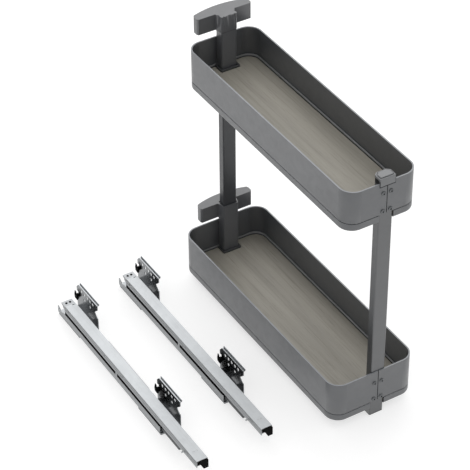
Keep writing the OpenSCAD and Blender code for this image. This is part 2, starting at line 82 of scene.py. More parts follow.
@dataclass(frozen=True)
class Mark:
    """A tone of a colour that comes or goes between two places of a value.

    The shares are how much of it shows at and beyond each of the two places.
    """

    shares: Pair
    places: Pair
    tone: float


@dataclass(frozen=True)
class ShadowLines:
    """Thin dark level lines of painted shadow, as in a seam or a groove.

    A line has its full share in its inner half and fades out to its half width on each side.
    """

    heights: Sequence[float] = ()
    half: float = 0.0006
    share: float = 0.9
    tone: float = 0.1


def shade(colour: Colour, factor: float) -> Colour:
    """Scales a linear colour."""
    return tuple(min(1.0, channel * factor) for channel in colour)


def around(middle: float, play: Pair) -> Pair:
    """Gives both ends of the play round a middle value."""
    return middle + play[0], middle + play[1]


class Graph:
    """A material's node tree, with short calls for the nodes that the finishes share."""

    def __init__(self, name: str) -> None:
        """Starts a material that holds only its shader and its output.

        Args:
            name: the material's name.
        """
        self.material = bpy.data.materials.new(name)
        self.material.use_nodes = True
        self.tree = self.material.node_tree
        self.tree.nodes.clear()
        output = self.node("ShaderNodeOutputMaterial")
        self.shader = self.node("ShaderNodeBsdfPrincipled")
        self.link(self.shader.outputs["BSDF"], output.inputs["Surface"])
        self.place = self.node("ShaderNodeTexCoord")

    def node(self, kind: str) -> bpy.types.Node:
        """Adds a node of a kind."""
        return self.tree.nodes.new(kind)

    def link(self, start: Socket, end: Socket) -> None:
        """Joins two sockets."""
        self.tree.links.new(start, end)

    def stretched(self, repeats: Repeats) -> Socket:
        """Gives the object's own coordinates, stretched.

        Args:
            repeats: repeats per metre along X, Y and Z.

        Returns:
            The mapped vector socket.
        """
        mapping = self.node("ShaderNodeMapping")
        mapping.inputs["Scale"].default_value = repeats
        self.link(self.place.outputs["Object"], mapping.inputs["Vector"])
        return mapping.outputs["Vector"]

    def z_part(self, vector: Socket) -> Socket:
        """Gives a vector's Z.

        Args:
            vector: the vector socket.

        Returns:
            The value socket.
        """
        split = self.node("ShaderNodeSeparateXYZ")
        self.link(vector, split.inputs["Vector"])
        return split.outputs["Z"]

    def height(self) -> Socket:
        """Gives the height above the floor in metres."""
        return self.z_part(self.place.outputs["Object"])

    def upright(self) -> Socket:
        """Gives how far a surface faces up: 1 on top faces, 0 on walls, -1 underneath."""
        return self.z_part(self.place.outputs["Normal"])

    def noise(self, noise: Noise) -> Socket:
        """Gives a noise value between 0 and 1.

        Args:
            noise: the noise's settings.

        Returns:
            The noise's factor socket.
        """
        node = self.node("ShaderNodeTexNoise")
        node.inputs["Scale"].default_value = 1.0
        node.inputs["Detail"].default_value = noise.detail
        node.inputs["Distortion"].default_value = noise.bend
        node.inputs["Roughness"].default_value = noise.fineness
        self.link(self.stretched(noise.repeats), node.inputs["Vector"])
        return node.outputs["Fac"]

    def cells(self, repeats: Repeats) -> Socket:
        """Gives each cell of a cell pattern its own colour.

        Args:
            repeats: cells per metre along X, Y and Z.

        Returns:
            The colour socket.
        """
        node = self.node("ShaderNodeTexVoronoi")
        node.inputs["Scale"].default_value = 1.0
        self.link(self.stretched(repeats), node.inputs["Vector"])
        return node.outputs["Color"]

    def ramp(self, value: Socket, stops: Sequence[tuple[float, Colour]]) -> Socket:
        """Turns a value into a colour.

        Args:
            value: the value between 0 and 1.
            stops: places and linear colours.

        Returns:
            The colour socket.
        """
        node = self.node("ShaderNodeValToRGB")
        elements = node.color_ramp.elements
        while len(elements) < len(stops):
            elements.new(0.5)
        for element, (place, colour) in zip(elements, stops):
            element.position = place
            element.color = (*colour, 1.0)
        self.link(value, node.inputs["Fac"])
        return node.outputs["Color"]

    def spread(self, value: Socket, low: float, high: float, start: float = 0.3,
               end: float = 0.7) -> Socket:
        """Maps a value from one range to another and keeps it inside.

        Args:
            value: the value to map.
            low: result at the start.
            high: result at the end.
            start: the value that gives low.
            end: the value that gives high.

        Returns:
            The mapped value socket.
        """
        node = self.node("ShaderNodeMapRange")
        names = ("From Min", "From Max", "To Min", "To Max")
        for name, number in zip(names, (start, end, low, high)):
            node.inputs[name].default_value = number
        self.link(value, node.inputs["Value"])
        return node.outputs["Result"]

    def maths(self, operation: str, first: Socket, second: Socket | float = 0.0) -> Socket:
        """Works out a value from one or two others.

        Args:
            operation: the maths node's operation.
            first: the first value.
            second: a second value or a plain number.

        Returns:
            The result socket.
        """
        node = self.node("ShaderNodeMath")
        node.operation = operation
        self.link(first, node.inputs[0])
        if isinstance(second, Socket):
            self.link(second, node.inputs[1])
        else:
            node.inputs[1].default_value = second
        return node.outputs["Value"]

    def mixed(self, factor: Socket, first: Socket | Colour, second: Socket | Colour) -> Socket:
        """Mixes two colours.

        Args:
            factor: how much of the second colour shows.
            first: a colour or a colour socket.
            second: a colour or a colour socket.

        Returns:
            The colour socket.
        """
        node = self.node("ShaderNodeMix")
        node.data_type = "RGBA"
        self.link(factor, node.inputs["Factor"])
        for name, colour in (("A", first), ("B", second)):
            socket = next(s for s in node.inputs if s.name == name and s.type == "RGBA")
            if isinstance(colour, Socket):
                self.link(colour, socket)
            else:
                socket.default_value = (*colour, 1.0)
        return next(s for s in node.outputs if s.type == "RGBA")

    def clouded(self, value: Socket, colour: Colour, tones: Pair) -> Socket:
        """Lets a colour drift between two tones of itself.

        Args:
            value: the noise that the drift follows.
            colour: the linear colour.
            tones: factors of the colour at the noise's two ends.

        Returns:
            The colour socket.
        """
        low, high = (shade(colour, tone) for tone in tones)
        return self.ramp(self.spread(value, 0.0, 1.0), [(0.0, low), (1.0, high)])

    def marked(self, base: Socket | Colour, value: Socket, colour: Colour, mark: Mark) -> Socket:
        """Puts a mark on a colour.

        Args:
            base: the colour so far.
            value: the value that the mark follows.
            colour: the colour whose tone the mark has.
            mark: the mark's shares, places and tone.

        Returns:
            The colour socket.
        """
        share = self.spread(value, *mark.shares, *mark.places)
        return self.mixed(share, base, shade(colour, mark.tone))

    def shadow_lined(self, base: Socket, colour: Colour, lines: ShadowLines) -> Socket:
        """Draws thin dark level lines of painted shadow on a colour.

        Args:
            base: the colour so far.
            colour: the colour whose tone the lines have.
            lines: the lines' heights, half width, share and tone.

        Returns:
            The colour socket.
        """
        mark = Mark((lines.share, 0.0), (0.5 * lines.half, lines.half), lines.tone)
        for height in lines.heights:
            away = self.maths("ABSOLUTE", self.maths("SUBTRACT", self.height(), height))
            base = self.marked(base, away, colour, mark)
        return base

    def bump(self, height: Socket, depth: float, strength: float) -> None:
        """Presses a relief into the shader's normal, on top of any earlier one.

        Args:
            height: the relief between 0 and 1.
            depth: the relief's depth.
            strength: the bump node's strength.
        """
        node = self.node("ShaderNodeBump")
        node.inputs["Strength"].default_value = strength
        node.inputs["Distance"].default_value = depth
        self.link(height, node.inputs["Height"])
        normal = self.shader.inputs["Normal"]
        if normal.is_linked:
            self.link(normal.links[0].from_socket, node.inputs["Normal"])
        self.link(node.outputs["Normal"], normal)

    def paint(self, **sockets: Socket | float | Colour) -> None:
        """Sets or links the shader's own sockets.

        Args:
            **sockets: socket names with spaces written as underscores, and what each gets.
        """
        for name, value in sockets.items():
            socket = self.shader.inputs[name.replace("_", " ")]
            if isinstance(value, Socket):
                self.link(value, socket)
            elif isinstance(value, tuple):
                socket.default_value = (*value, 1.0)
            else:
                socket.default_value = value


# ---------------------------------------------------------------- finishes
class Finish(Protocol):
    """What every finish has: a name, and a method that builds its material."""

    @property
    def name(self) -> str:
        """The material's name."""

    def material(self) -> bpy.types.Material:
        """Builds the material."""


@dataclass(frozen=True)
class PowderCoat:
    """Satin powder coat on sheet steel: orange peel, faint clouding and specks, painted seam
    shadows.

    The tones are factors of the colour; the highlight tone is a painted highlight on surfaces
    that face up.
    """

    name: str
    colour: Colour = (0.064, 0.068, 0.074)
    roughness: float = 0.40
    play: Pair = (-0.04, 0.05)
    reflect: float = 1.90
    cloud: Noise = Noise((9, 9, 9), 3.0)
    cloud_tones: Pair = (0.92, 1.08)
    speck: Noise = Noise((2400, 2400, 2400), 1.0)
    speck_mark: Mark = Mark((0.0, 0.18), (0.62, 0.80), 1.7)
    seam_shadows: ShadowLines = ShadowLines()
    painted_highlight_tone: float = 1.0
    painted_highlight_slopes: Pair = (0.35, 0.75)
    rub: Noise = Noise((70, 70, 70), 4.0, 0.6)
    peel: Noise = Noise((620, 620, 620))
    peel_depth: float = 0.00006
    peel_strength: float = 0.12

    def material(self) -> bpy.types.Material:
        """Builds the paint.

        Returns:
            The new material.
        """
        g = Graph(self.name)
        tone = g.clouded(g.noise(self.cloud), self.colour, self.cloud_tones)
        tone = g.marked(tone, g.noise(self.speck), self.colour, self.speck_mark)
        # painted shadow: dark lines at the seam heights
        tone = g.shadow_lined(tone, self.colour, self.seam_shadows)
        # painted highlight: surfaces that face up are made lighter
        if self.painted_highlight_tone != 1.0:
            painted_highlight_mark = Mark((0.0, 1.0), self.painted_highlight_slopes, self.painted_highlight_tone)
            tone = g.marked(tone, g.upright(), self.colour, painted_highlight_mark)
        worn = g.spread(g.noise(self.rub), *around(self.roughness, self.play))
        g.paint(Base_Color=tone, IOR=self.reflect, Roughness=worn)
        g.bump(g.noise(self.peel), self.peel_depth, self.peel_strength)
        return g.material


@dataclass(frozen=True)
class GreyedWood:
    """Grey-brown wood-faced board with its grain along the tray.

    The tone scales all its colours, and below 1 it is painted shade; the offset sets one board's
    figure apart from another's.
    """

    name: str
    tone: float = 1.0
    offset: float = 0.0
    light: Colour = (0.385, 0.362, 0.312)
    middle: Colour = (0.330, 0.311, 0.267)
    dark: Colour = (0.205, 0.190, 0.158)
    figure: Noise = Noise((18, 1.6, 18), 3.0, 0.9)
    figure_places: Sequence[float] = (0.28, 0.46, 0.64, 0.82)
    figure_shadow: float = 0.84
    streak: Noise = Noise((190, 3.4, 190), 5.0, 0.4, 0.62)
    streak_mark: Mark = Mark((0.0, 0.50), (0.52, 0.74), 1.0)
    lime_mark: Mark = Mark((0.30, 0.0), (0.26, 0.46), 1.12)
    pore: Noise = Noise((1300, 24, 1300), 2.0, 0.2)
    pore_mark: Mark = Mark((0.0, 0.50), (0.60, 0.72), 0.75)
    roughness: Pair = (0.44, 0.60)
    reflect: float = 1.45
    pore_depth: float = 0.00012
    pore_strength: float = 0.5
    streak_depth: float = 0.00025
    streak_strength: float = 0.35

    def material(self) -> bpy.types.Material:
        """Builds the board's face.

        Returns:
            The new material.
        """
        g = Graph(self.name)
        plain = (self.light, self.middle, self.dark)
        # a tone below 1 darkens the whole board as painted shade
        light, middle, dark = (shade(colour, self.tone) for colour in plain)
        across, along, up = self.figure.repeats
        figure = g.noise(replace(self.figure, repeats=(across + self.offset, along, up)))
        streak = g.noise(self.streak)
        pore = g.noise(self.pore)
        colours = (shade(middle, self.figure_shadow), middle, light, middle)
        tone = g.ramp(figure, list(zip(self.figure_places, colours)))
        tone = g.marked(tone, streak, dark, self.streak_mark)
        tone = g.marked(tone, streak, light, self.lime_mark)
        tone = g.marked(tone, pore, dark, self.pore_mark)
        worn = g.spread(streak, *self.roughness)
        g.paint(Base_Color=tone, Roughness=worn, IOR=self.reflect)
        g.bump(pore, self.pore_depth, self.pore_strength)
        g.bump(streak, self.streak_depth, self.streak_strength)
        return g.material


@dataclass(frozen=True)
class Galvanised:
    """Zinc-coated steel strip: long rolling marks, faint spangle and stains, painted groove
    shadows.

    The tones are factors of the colour; the wall shade is painted shade that darkens upright
    walls and undersides.
    """

    name: str
    colour: Colour = (0.545, 0.565, 0.580)
    roughness: float = 0.42
    play: Pair = (-0.03, 0.05)
    metal: float = 0.45
    wall_shade: float = 0.58
    wall_shade_slopes: Pair = (0.50, 0.85)
    flakes: Repeats = (160, 130, 160)
    spangle: float = 0.035
    roll: Noise = Noise((900, 9, 900), 3.0)
    roll_mark: Mark = Mark((0.0, 0.16), (0.50, 0.72), 0.6)
    roll_depth: float = 0.00003
    roll_strength: float = 0.35
    stain: Noise = Noise((34, 12, 34), 4.0, 0.8)
    stain_mark: Mark = Mark((0.0, 0.10), (0.52, 0.75), 0.75)
    groove_shadows: ShadowLines = ShadowLines()

    def material(self) -> bpy.types.Material:
        """Builds the zinc.

        Returns:
            The new material.
        """
        g = Graph(self.name)
        roll = g.noise(self.roll)
        stain = g.noise(self.stain)
        flake = g.spread(g.cells(self.flakes), 0.0, 1.0, 0.0, 1.0)
        dull, bright = (shade(self.colour, tone) for tone in (1 - self.spangle, 1 + self.spangle))
        # painted shade: faces that don't face up are made darker
        wall_shade_mark = Mark((1.0, 0.0), self.wall_shade_slopes, self.wall_shade)
        tone = g.mixed(flake, dull, bright)
        tone = g.marked(tone, g.upright(), self.colour, wall_shade_mark)
        tone = g.marked(tone, roll, self.colour, self.roll_mark)
        tone = g.marked(tone, stain, self.colour, self.stain_mark)
        # painted shadow: dark lines at the groove heights
        tone = g.shadow_lined(tone, self.colour, self.groove_shadows)
        worn = g.spread(stain, *around(self.roughness, self.play))
        g.paint(Base_Color=tone, Metallic=self.metal, Roughness=worn)
        g.bump(roll, self.roll_depth, self.roll_strength)
        return g.material


@dataclass(frozen=True)
class MouldedPlastic:
    """Injection-moulded plastic with a fine spark-eroded grain."""

    name: str
    colour: Colour
    roughness: float = 0.45
    play: Pair = (-0.05, 0.08)
    reflect: float = 1.5
    cloud: Noise = Noise((40, 40, 40), 3.0)
    cloud_tones: Pair = (0.90, 1.12)
    grain: Noise = Noise((1500, 1500, 1500))
    grain_mark: Mark = Mark((0.0, 0.25), (0.55, 0.75), 1.35)
    grain_depth: float = 0.00007
    grain_strength: float = 0.6

    def material(self) -> bpy.types.Material:
        """Builds the plastic.

        Returns:
            The new material.
        """
        g = Graph(self.name)
        cloud = g.noise(self.cloud)
        grain = g.noise(self.grain)
        tone = g.clouded(cloud, self.colour, self.cloud_tones)
        tone = g.marked(tone, grain, self.colour, self.grain_mark)
        worn = g.spread(cloud, *around(self.roughness, self.play))
        g.paint(Base_Color=tone, IOR=self.reflect, Roughness=worn)
        g.bump(grain, self.grain_depth, self.grain_strength)
        return g.material


@dataclass(frozen=True)
class TurnedSteel:
    """Bright turned or plated steel of pins, screws and rivets."""

    name: str
    colour: Colour = (0.55, 0.56, 0.57)
    roughness: float = 0.28
    play: Pair = (-0.06, 0.12)
    ring: Noise = Noise((700, 700, 700), 3.0, 0.4)
    ring_mark: Mark = Mark((0.0, 0.4), (0.3, 0.7), 0.72)
    ring_depth: float = 0.00002
    ring_strength: float = 0.4
    cloud: Noise = Noise((120, 120, 120))

    def material(self) -> bpy.types.Material:
        """Builds the plated steel.

        Returns:
            The new material.
        """
        g = Graph(self.name)
        ring = g.noise(self.ring)
        tone = g.marked(self.colour, ring, self.colour, self.ring_mark)
        worn = g.spread(g.noise(self.cloud), *around(self.roughness, self.play))
        g.paint(Base_Color=tone, Metallic=1.0, Roughness=worn)
        g.bump(ring, self.ring_depth, self.ring_strength)
        return g.material


# Tray paint: its tops are painted lighter as highlight, and its painted seam shadow line gets a
# height per tray.
PAINT = PowderCoat("tray_powder_coat", seam_shadows=ShadowLines(half=0.0009), painted_highlight_tone=2.8)
POST_PAINT = PowderCoat("post_powder_coat", (0.040, 0.043, 0.047), 0.34)
REAR_POST_PAINT = PowderCoat("rear_post_powder_coat", (0.034, 0.036, 0.040), 0.38, reflect=1.52)
# The support paint has a painted shadow line at the step under the top support's neck.
SUPPORT_PAINT = PowderCoat("support_powder_coat", (0.078, 0.081, 0.087), 0.36, reflect=1.75,
                           seam_shadows=ShadowLines((0.4932,)))
UPPER_WOOD = GreyedWood("upper_board_wood")
# The lower board is the same wood, darkened by its tone as painted shade.
LOWER_WOOD_WITH_PAINTED_SHADE = GreyedWood("lower_board_wood_painted_shade", tone=0.88, offset=1.7)
RAIL_ZINC = Galvanised("rail_zinc")
# The top rail's zinc has painted shadow lines along its two grooves.
GROOVED_ZINC = Galvanised("grooved_rail_zinc", groove_shadows=ShadowLines((0.0334, 0.02825), 0.00065, 0.85))
# The track and bracket zinc have a deeper painted wall shade; the track zinc is also darker all
# over.
TRACK_ZINC = Galvanised("darker_track_zinc", (0.380, 0.390, 0.400), 0.36, wall_shade=0.42)
HOOK_ZINC = Galvanised("hook_zinc", (0.33, 0.34, 0.35), 0.34, metal=1.0)
BRACKET_ZINC = Galvanised("bracket_zinc", (0.40, 0.415, 0.43), 0.24, metal=1.0, wall_shade=0.40,
                          spangle=0.03)
BEAD_RUBBER = MouldedPlastic("foot_seal_rubber", (0.190, 0.194, 0.198), 0.42)
CAP_PLASTIC = MouldedPlastic("cap_grey_plastic", (0.170, 0.174, 0.180), 0.34, reflect=1.6)
# Near-black plastic that paints the shade under the cap's plate and apron.
CAP_SHADE_PLASTIC = MouldedPlastic("cap_shade_plastic", (0.022, 0.023, 0.025), 0.50, reflect=1.3)
COLLAR_PLASTIC = MouldedPlastic("collar_dark_plastic", (0.050, 0.052, 0.055), 0.42)
# Black plastic of plugs, liners, cages and clips, also used for the black strips and pad of
# painted shade.
BLACK_PLASTIC_AND_SHADE = MouldedPlastic("slide_black_plastic_and_shade", (0.004, 0.004, 0.004), 0.62, reflect=1.12)
DAMPER_PLASTIC = MouldedPlastic("damper_grey_plastic", (0.420, 0.430, 0.440), 0.40)
PIN_STEEL = TurnedSteel("pin_steel")
SCREW_STEEL = TurnedSteel("screw_grey_steel", (0.15, 0.155, 0.16), 0.34)


def round_edges(part: bpy.types.Object, width: float, degrees: float) -> None:
    """Rounds the edges that are sharper than an angle, by a modifier.

    Args:
        part: the object.
        width: width of the rounded edge.
        degrees: the angle.
    """
    bevel = part.modifiers.new("soft_edges", "BEVEL")
    bevel.width = width
    bevel.segments = EDGE_STEPS
    bevel.limit_method = "ANGLE"
    bevel.angle_limit = math.radians(degrees)


def soften(part: bpy.types.Object, edge: float) -> None:
    """Rounds a CAD part's sharp edges by modifiers and leaves its mesh as it is.

    Args:
        part: the object to soften.
        edge: width of the rounded edge.
    """
    weld = part.modifiers.new("joined", "WELD")
    weld.merge_threshold = WELD_REACH
    flat = part.modifiers.new("flat_faces", "DECIMATE")
    flat.decimate_type = "DISSOLVE"
    flat.angle_limit = math.radians(FLAT_DEGREES)
    round_edges(part, edge, SHEET_DEGREES)


class Finishes:
    """Makes each finish's material once and hands it out by finish."""

    def __init__(self) -> None:
        """Starts with no material made."""
        self._made: dict[str, bpy.types.Material] = {}

    def of(self, finish: Finish) -> bpy.types.Material:
        """Gives a finish's material.

        Args:
            finish: the finish.

        Returns:
            The finish's one material.
        """
        if finish.name not in self._made:
            self._made[finish.name] = finish.material()
        return self._made[finish.name]

    def dress(self, node: str, finish: Finish, edge: float = 0.0) -> None:
        """Gives a CAD node its finish, and softens its sharp edges if asked.

        Args:
            node: the CAD node's name.
            finish: the finish for all its slots.
            edge: width of the softened edge, or 0 for none.
        """
        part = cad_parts[node]
        material = self.of(finish)
        if not part.data.materials:
            part.data.materials.append(material)
        for slot in range(len(part.data.materials)):
            part.data.materials[slot] = material
        if edge:
            soften(part, edge)
        LOG.info("dressed %s with %s", node, finish.name)


FINISHES = Finishes()


# ---------------------------------------------------------------- meshes
def outline(x: float, y: float, half_x: float, half_y: float, cut: float,
            back_cut: float) -> list[Pair]:
    """Gives a rectangle with its four corners cut off.

    Args:
        x: the middle across.
        y: the middle along.
        half_x: half the width.
        half_y: half the depth.
        cut: how much the two front corners lose.
        back_cut: how much the two rear corners lose.

    Returns:
        The points in order, seen from above: one at a corner that loses nothing, else two.
    """
    points = [(x - half_x + cut, y - half_y), (x + half_x - cut, y - half_y),
              (x + half_x, y - half_y + cut), (x + half_x, y + half_y - back_cut),
              (x + half_x - back_cut, y + half_y), (x - half_x + back_cut, y + half_y),
              (x - half_x, y + half_y - back_cut), (x - half_x, y - half_y + cut)]
    return list(dict.fromkeys(points))


def lofted(name: str, rings: Sequence[Sequence[Point]], body: str, finish: Finish,
           edge: float = 0.0) -> bpy.types.Object:
    """Joins rings of points into one closed piece, dresses it and puts it on a body.

    Args:
        name: the piece's name.
        rings: rings with the same number of points, from one end of the piece to the other.
        body: the CAD body that carries the piece.
        finish: the piece's finish.
        edge: width of the rounded edges, or 0 for none.

    Returns:
        The new piece.
    """
    mesh = bpy.data.meshes.new(name)
    work = bmesh.new()
    rows = [[work.verts.new(point) for point in ring] for ring in rings]
    count = len(rows[0])
    for low, high in zip(rows, rows[1:]):
        for k in range(count):
            after = (k + 1) % count
            work.faces.new((low[k], low[after], high[after], high[k]))
    work.faces.new(list(reversed(rows[0])))
    work.faces.new(rows[-1])
    bmesh.ops.recalc_face_normals(work, faces=work.faces)
    work.to_mesh(mesh)
    work.free()
    piece = bpy.data.objects.new(name, mesh)
    bpy.context.collection.objects.link(piece)
    mesh.materials.append(FINISHES.of(finish))
    if edge:
        round_edges(piece, edge, PIECE_DEGREES)
    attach(piece, body)
    LOG.info("made %s on %s", name, body)
    return piece


def prism(name: str, shape: Sequence[Pair], low: float, high: float, body: str,
          finish: Finish, edge: float = 0.0) -> bpy.types.Object:
    """Stands an outline up between two heights as one closed piece.

    Args:
        name: the piece's name.
        shape: the outline.
        low: height of the piece's foot.
        high: height of its top.
        body: the CAD body that carries the piece.
        finish: the piece's finish.
        edge: width of the rounded edges, or 0 for none.

    Returns:
        The new piece.
    """
    rings = [[(*point, height) for point in shape] for height in (low, high)]
    return lofted(name, rings, body, finish, edge)


def turned(name: str, centre: Point, axis: Vector, profile: Sequence[Pair], body: str,
           finish: Finish, steps: int = 32) -> bpy.types.Object:
    """Turns a profile round an axis into one closed piece.

    Args:
        name: the piece's name.
        centre: the profile's start on the axis.
        axis: the axis's direction.
        profile: places along the axis and radii.
        body: the CAD body that carries the piece.
        finish: the piece's finish.
        steps: points round the axis.

    Returns:
        The new piece.
    """
    turn = axis.to_track_quat("Z", "Y").to_matrix()
    rings = []
    for along, radius in profile:
        ring = []
        for k in range(steps):
            angle = 2 * math.pi * k / steps
            local = Vector((radius * math.cos(angle), radius * math.sin(angle), along))
            ring.append(Vector(centre) + turn @ local)
        rings.append(ring)
    return lofted(name, rings, body, finish)


# ---------------------------------------------------------------- rack
class Level(Enum):
    """The two trays."""

    UPPER = "upper"
    LOWER = "lower"


@dataclass
class Tray:
    """One tray: painted band and pan, wooden board and the seal round the wall's foot."""

    level: Level
    wood: GreyedWood
    edge: float = 0.0006
    rim_edge: float = 0.0005
    seam_shadow_drop: float = 0.0001

    def dress(self) -> None:
        """Gives each of the tray's pieces its finish."""
        name = self.level.value
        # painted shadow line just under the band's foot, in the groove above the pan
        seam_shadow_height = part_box(f"{name}_tray_band")[0].z - self.seam_shadow_drop
        seam_shadows = replace(PAINT.seam_shadows, heights=(seam_shadow_height,))
        paint = replace(PAINT, name=f"{name}_{PAINT.name}", seam_shadows=seam_shadows)
        FINISHES.dress(f"{name}_tray_band", paint, self.rim_edge)
        FINISHES.dress(f"{name}_base_pan", paint, self.rim_edge)
        FINISHES.dress(f"{name}_wood_base", self.wood, self.edge)
        FINISHES.dress(f"{name}_lip_bead", BEAD_RUBBER)
        FINISHES.dress(f"{name}_band_screws", SCREW_STEEL)
        FINISHES.dress(f"{name}_post_flange", COLLAR_PLASTIC, self.edge)


@dataclass
class FrontCap:
    """The front post's cap: stepped plate, apron before the band, and a strip and neck painted
    near black as shade.

    The plate's steps are insets from the cap's outline and drops from its top, and the pieces
    under the plate tuck into it.
    """

    height: float = 0.0155
    cut: float = 0.0012
    back_cut: float = 0.0050
    steps: Sequence[Pair] = ((0.0, 0.0054), (0.0, 0.0019), (0.0005, 0.0013), (0.0017, 0.0013),
                             (0.0018, 0.0023), (0.0027, 0.0023), (0.0028, 0.0005), (0.0033, 0.0))
    edge: float = 0.0002
    tuck: float = 0.0002
    apron_depth: float = 0.0034
    apron_inset: float = 0.0008
    apron_cut: float = 0.0004
    apron_back_cut: float = 0.0002
    shadow_strip_depth: float = 0.0004
    shadow_strip_at: float = 0.0007
    shadow_strip_drop: float = 0.0020
    neck_inset: float = 0.0020
    neck_overlap: float = 0.0001
    neck_back: float = 0.0016
    neck_cut: float = 0.0003
    neck_back_cut: float = 0.0015
    neck_edge: float = 0.0003

    def build(self) -> None:
        """Makes the cap's four pieces in the box of the CAD's plain cap."""
        low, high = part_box("front_post_cap")
        x, y = (low.x + high.x) / 2, (low.y + high.y) / 2
        half_x, half_y = (high.x - low.x) / 2, (high.y - low.y) / 2
        rings = []
        for inset, drop in self.steps:
            shape = outline(x, y, half_x - inset, half_y - inset, self.cut, self.back_cut)
            rings.append([(*point, high.z - drop) for point in shape])
        plate = lofted("front_cap_plate", rings, "rack", CAP_PLASTIC, self.edge)
        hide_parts("front_post_cap")
        seat = high.z - self.height
        top = high.z - self.steps[0][1] + self.tuck
        shape = outline(x, low.y + self.apron_depth / 2, half_x - self.apron_inset,
                        self.apron_depth / 2, self.apron_cut, self.apron_back_cut)
        prism("front_cap_apron", shape, seat, top, "rack", CAP_PLASTIC, self.edge)
        # painted shadow: a thin near-black strip under the apron's front
        shape = outline(x, low.y + self.shadow_strip_at, half_x, self.shadow_strip_depth / 2, 0.0, 0.0)
        prism("front_cap_shadow_strip", shape, seat - self.shadow_strip_drop, top, "rack",
              CAP_SHADE_PLASTIC)
        # the neck is near black as painted shade under the plate
        front, back = low.y + self.apron_depth - self.neck_overlap, high.y - self.neck_back
        shape = outline(x, (front + back) / 2, half_x - self.neck_inset, (back - front) / 2,
                        self.neck_cut, self.neck_back_cut)
        prism("front_cap_neck", shape, seat, top, "rack", CAP_SHADE_PLASTIC,
              self.neck_edge)


@dataclass
class Posts:
    """The two rectangular posts with their cap, plugs and nut plates."""

    edge: float = 0.0005

    def dress(self) -> None:
        """Gives each of the posts' pieces its finish and makes the front post's cap."""
        FINISHES.dress("front_post", POST_PAINT)
        FINISHES.dress("rear_post", REAR_POST_PAINT)
        FrontCap().build()
        FINISHES.dress("front_foot_plug", BLACK_PLASTIC_AND_SHADE, self.edge)
        FINISHES.dress("rear_foot_plug", BLACK_PLASTIC_AND_SHADE, self.edge)
        FINISHES.dress("nut_plates", RAIL_ZINC)


@dataclass
class RearSupports:
    """The two fluted, bowed rear supports and the screws that hold them."""

    edge: float = 0.0009

    def dress(self) -> None:
        """Gives the supports and their screws their finish."""
        FINISHES.dress("top_rear_support", SUPPORT_PAINT, self.edge)
        FINISHES.dress("low_rear_support", SUPPORT_PAINT, self.edge)
        FINISHES.dress("support_screws", PIN_STEEL)


# ---------------------------------------------------------------- runners
class Side(Enum):
    """The two runners."""

    LEFT = "left"
    RIGHT = "right"


@dataclass
class SlotShadeStrips:
    """The two black strips of painted shade on a channel's near wall, before and behind its tab.

    The seat is above the channel's foot, and the tab's place is behind the channel's front end.
    """

    side: Side
    seat: float = 0.0118
    height: float = 0.0016
    width: float = 0.0012
    cut: float = 0.0002
    front_gap: float = 0.002
    rear_gap: float = 0.026
    tab: Pair = (0.1428, 0.1487)

    def build(self) -> None:
        """Makes both strips."""
        name = self.side.value
        low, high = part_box(f"{name}_channel")
        seat, top = low.z + self.seat, low.z + self.seat + self.height
        half = self.width / 2
        spans = ((low.y + self.front_gap, low.y + self.tab[0]),
                 (low.y + self.tab[1], high.y - self.rear_gap))
        # painted shade: black strips that widen the dark slot beside the rail
        for number, (start, end) in enumerate(spans):
            shape = outline(low.x + half, (start + end) / 2, half, (end - start) / 2,
                            self.cut, self.cut)
            prism(f"{name}_slot_shade_strip_{number + 1}", shape, seat, top, "rack",
                  BLACK_PLASTIC_AND_SHADE)


@dataclass
class LatchLugs:
    """The small latch lugs at the notches of a runner's two brackets.

    They stand inside the box of the CAD's clips: drop is from its top, room is the place of the
    front lug's back behind the box's front, and the steps are drops from a lug's top and insets.
    """

    side: Side
    reach: float = 0.005
    depth: float = 0.005
    drop: float = 0.0025
    room: float = 0.008
    cut: float = 0.0004
    steps: Sequence[Pair] = ((0.008, 0.0008), (0.007, 0.0), (0.0015, 0.0), (0.0, 0.0012))

    def build(self) -> None:
        """Makes both lugs."""
        name = self.side.value
        low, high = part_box(f"{name}_clips")
        top = high.z - self.drop
        for place, back in (("front", low.y + self.room), ("rear", high.y)):
            rings = []
            for drop, inset in self.steps:
                shape = outline(high.x - self.reach / 2, back - self.depth / 2,
                                self.reach / 2 - inset, self.depth / 2 - inset,
                                self.cut, self.cut)
                rings.append([(*point, top - drop) for point in shape])
            lug = lofted(f"{name}_{place}_lug", rings, "rack", BLACK_PLASTIC_AND_SHADE)
            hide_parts(f"{name}_clips")


@dataclass
class LatchPin:
    """The latch pin of a sliding rail, with its head and neck.

    The profile gives places along the pin and radii, and end_radius is that of its far end.
    """

    side: Side
    profile: Sequence[Pair] = ((0.0, 0.0011), (0.0003, 0.0015), (0.0013, 0.0016),
                               (0.0016, 0.0011), (0.0036, 0.0011))
    end_radius: float = 0.0013

    def build(self) -> None:
        """Makes the pin as long as the CAD's plain pin."""
        name = self.side.value
        low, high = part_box(f"{name}_latch_pin")
        centre = (low.x, (low.y + high.y) / 2, (low.z + high.z) / 2)
        profile = (*self.profile, (high.x - low.x, self.end_radius))
        pin = turned(f"{name}_pin_with_head", centre, RIGHT, profile, f"{name}_drawer",
                     PIN_STEEL)
        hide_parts(f"{name}_latch_pin")


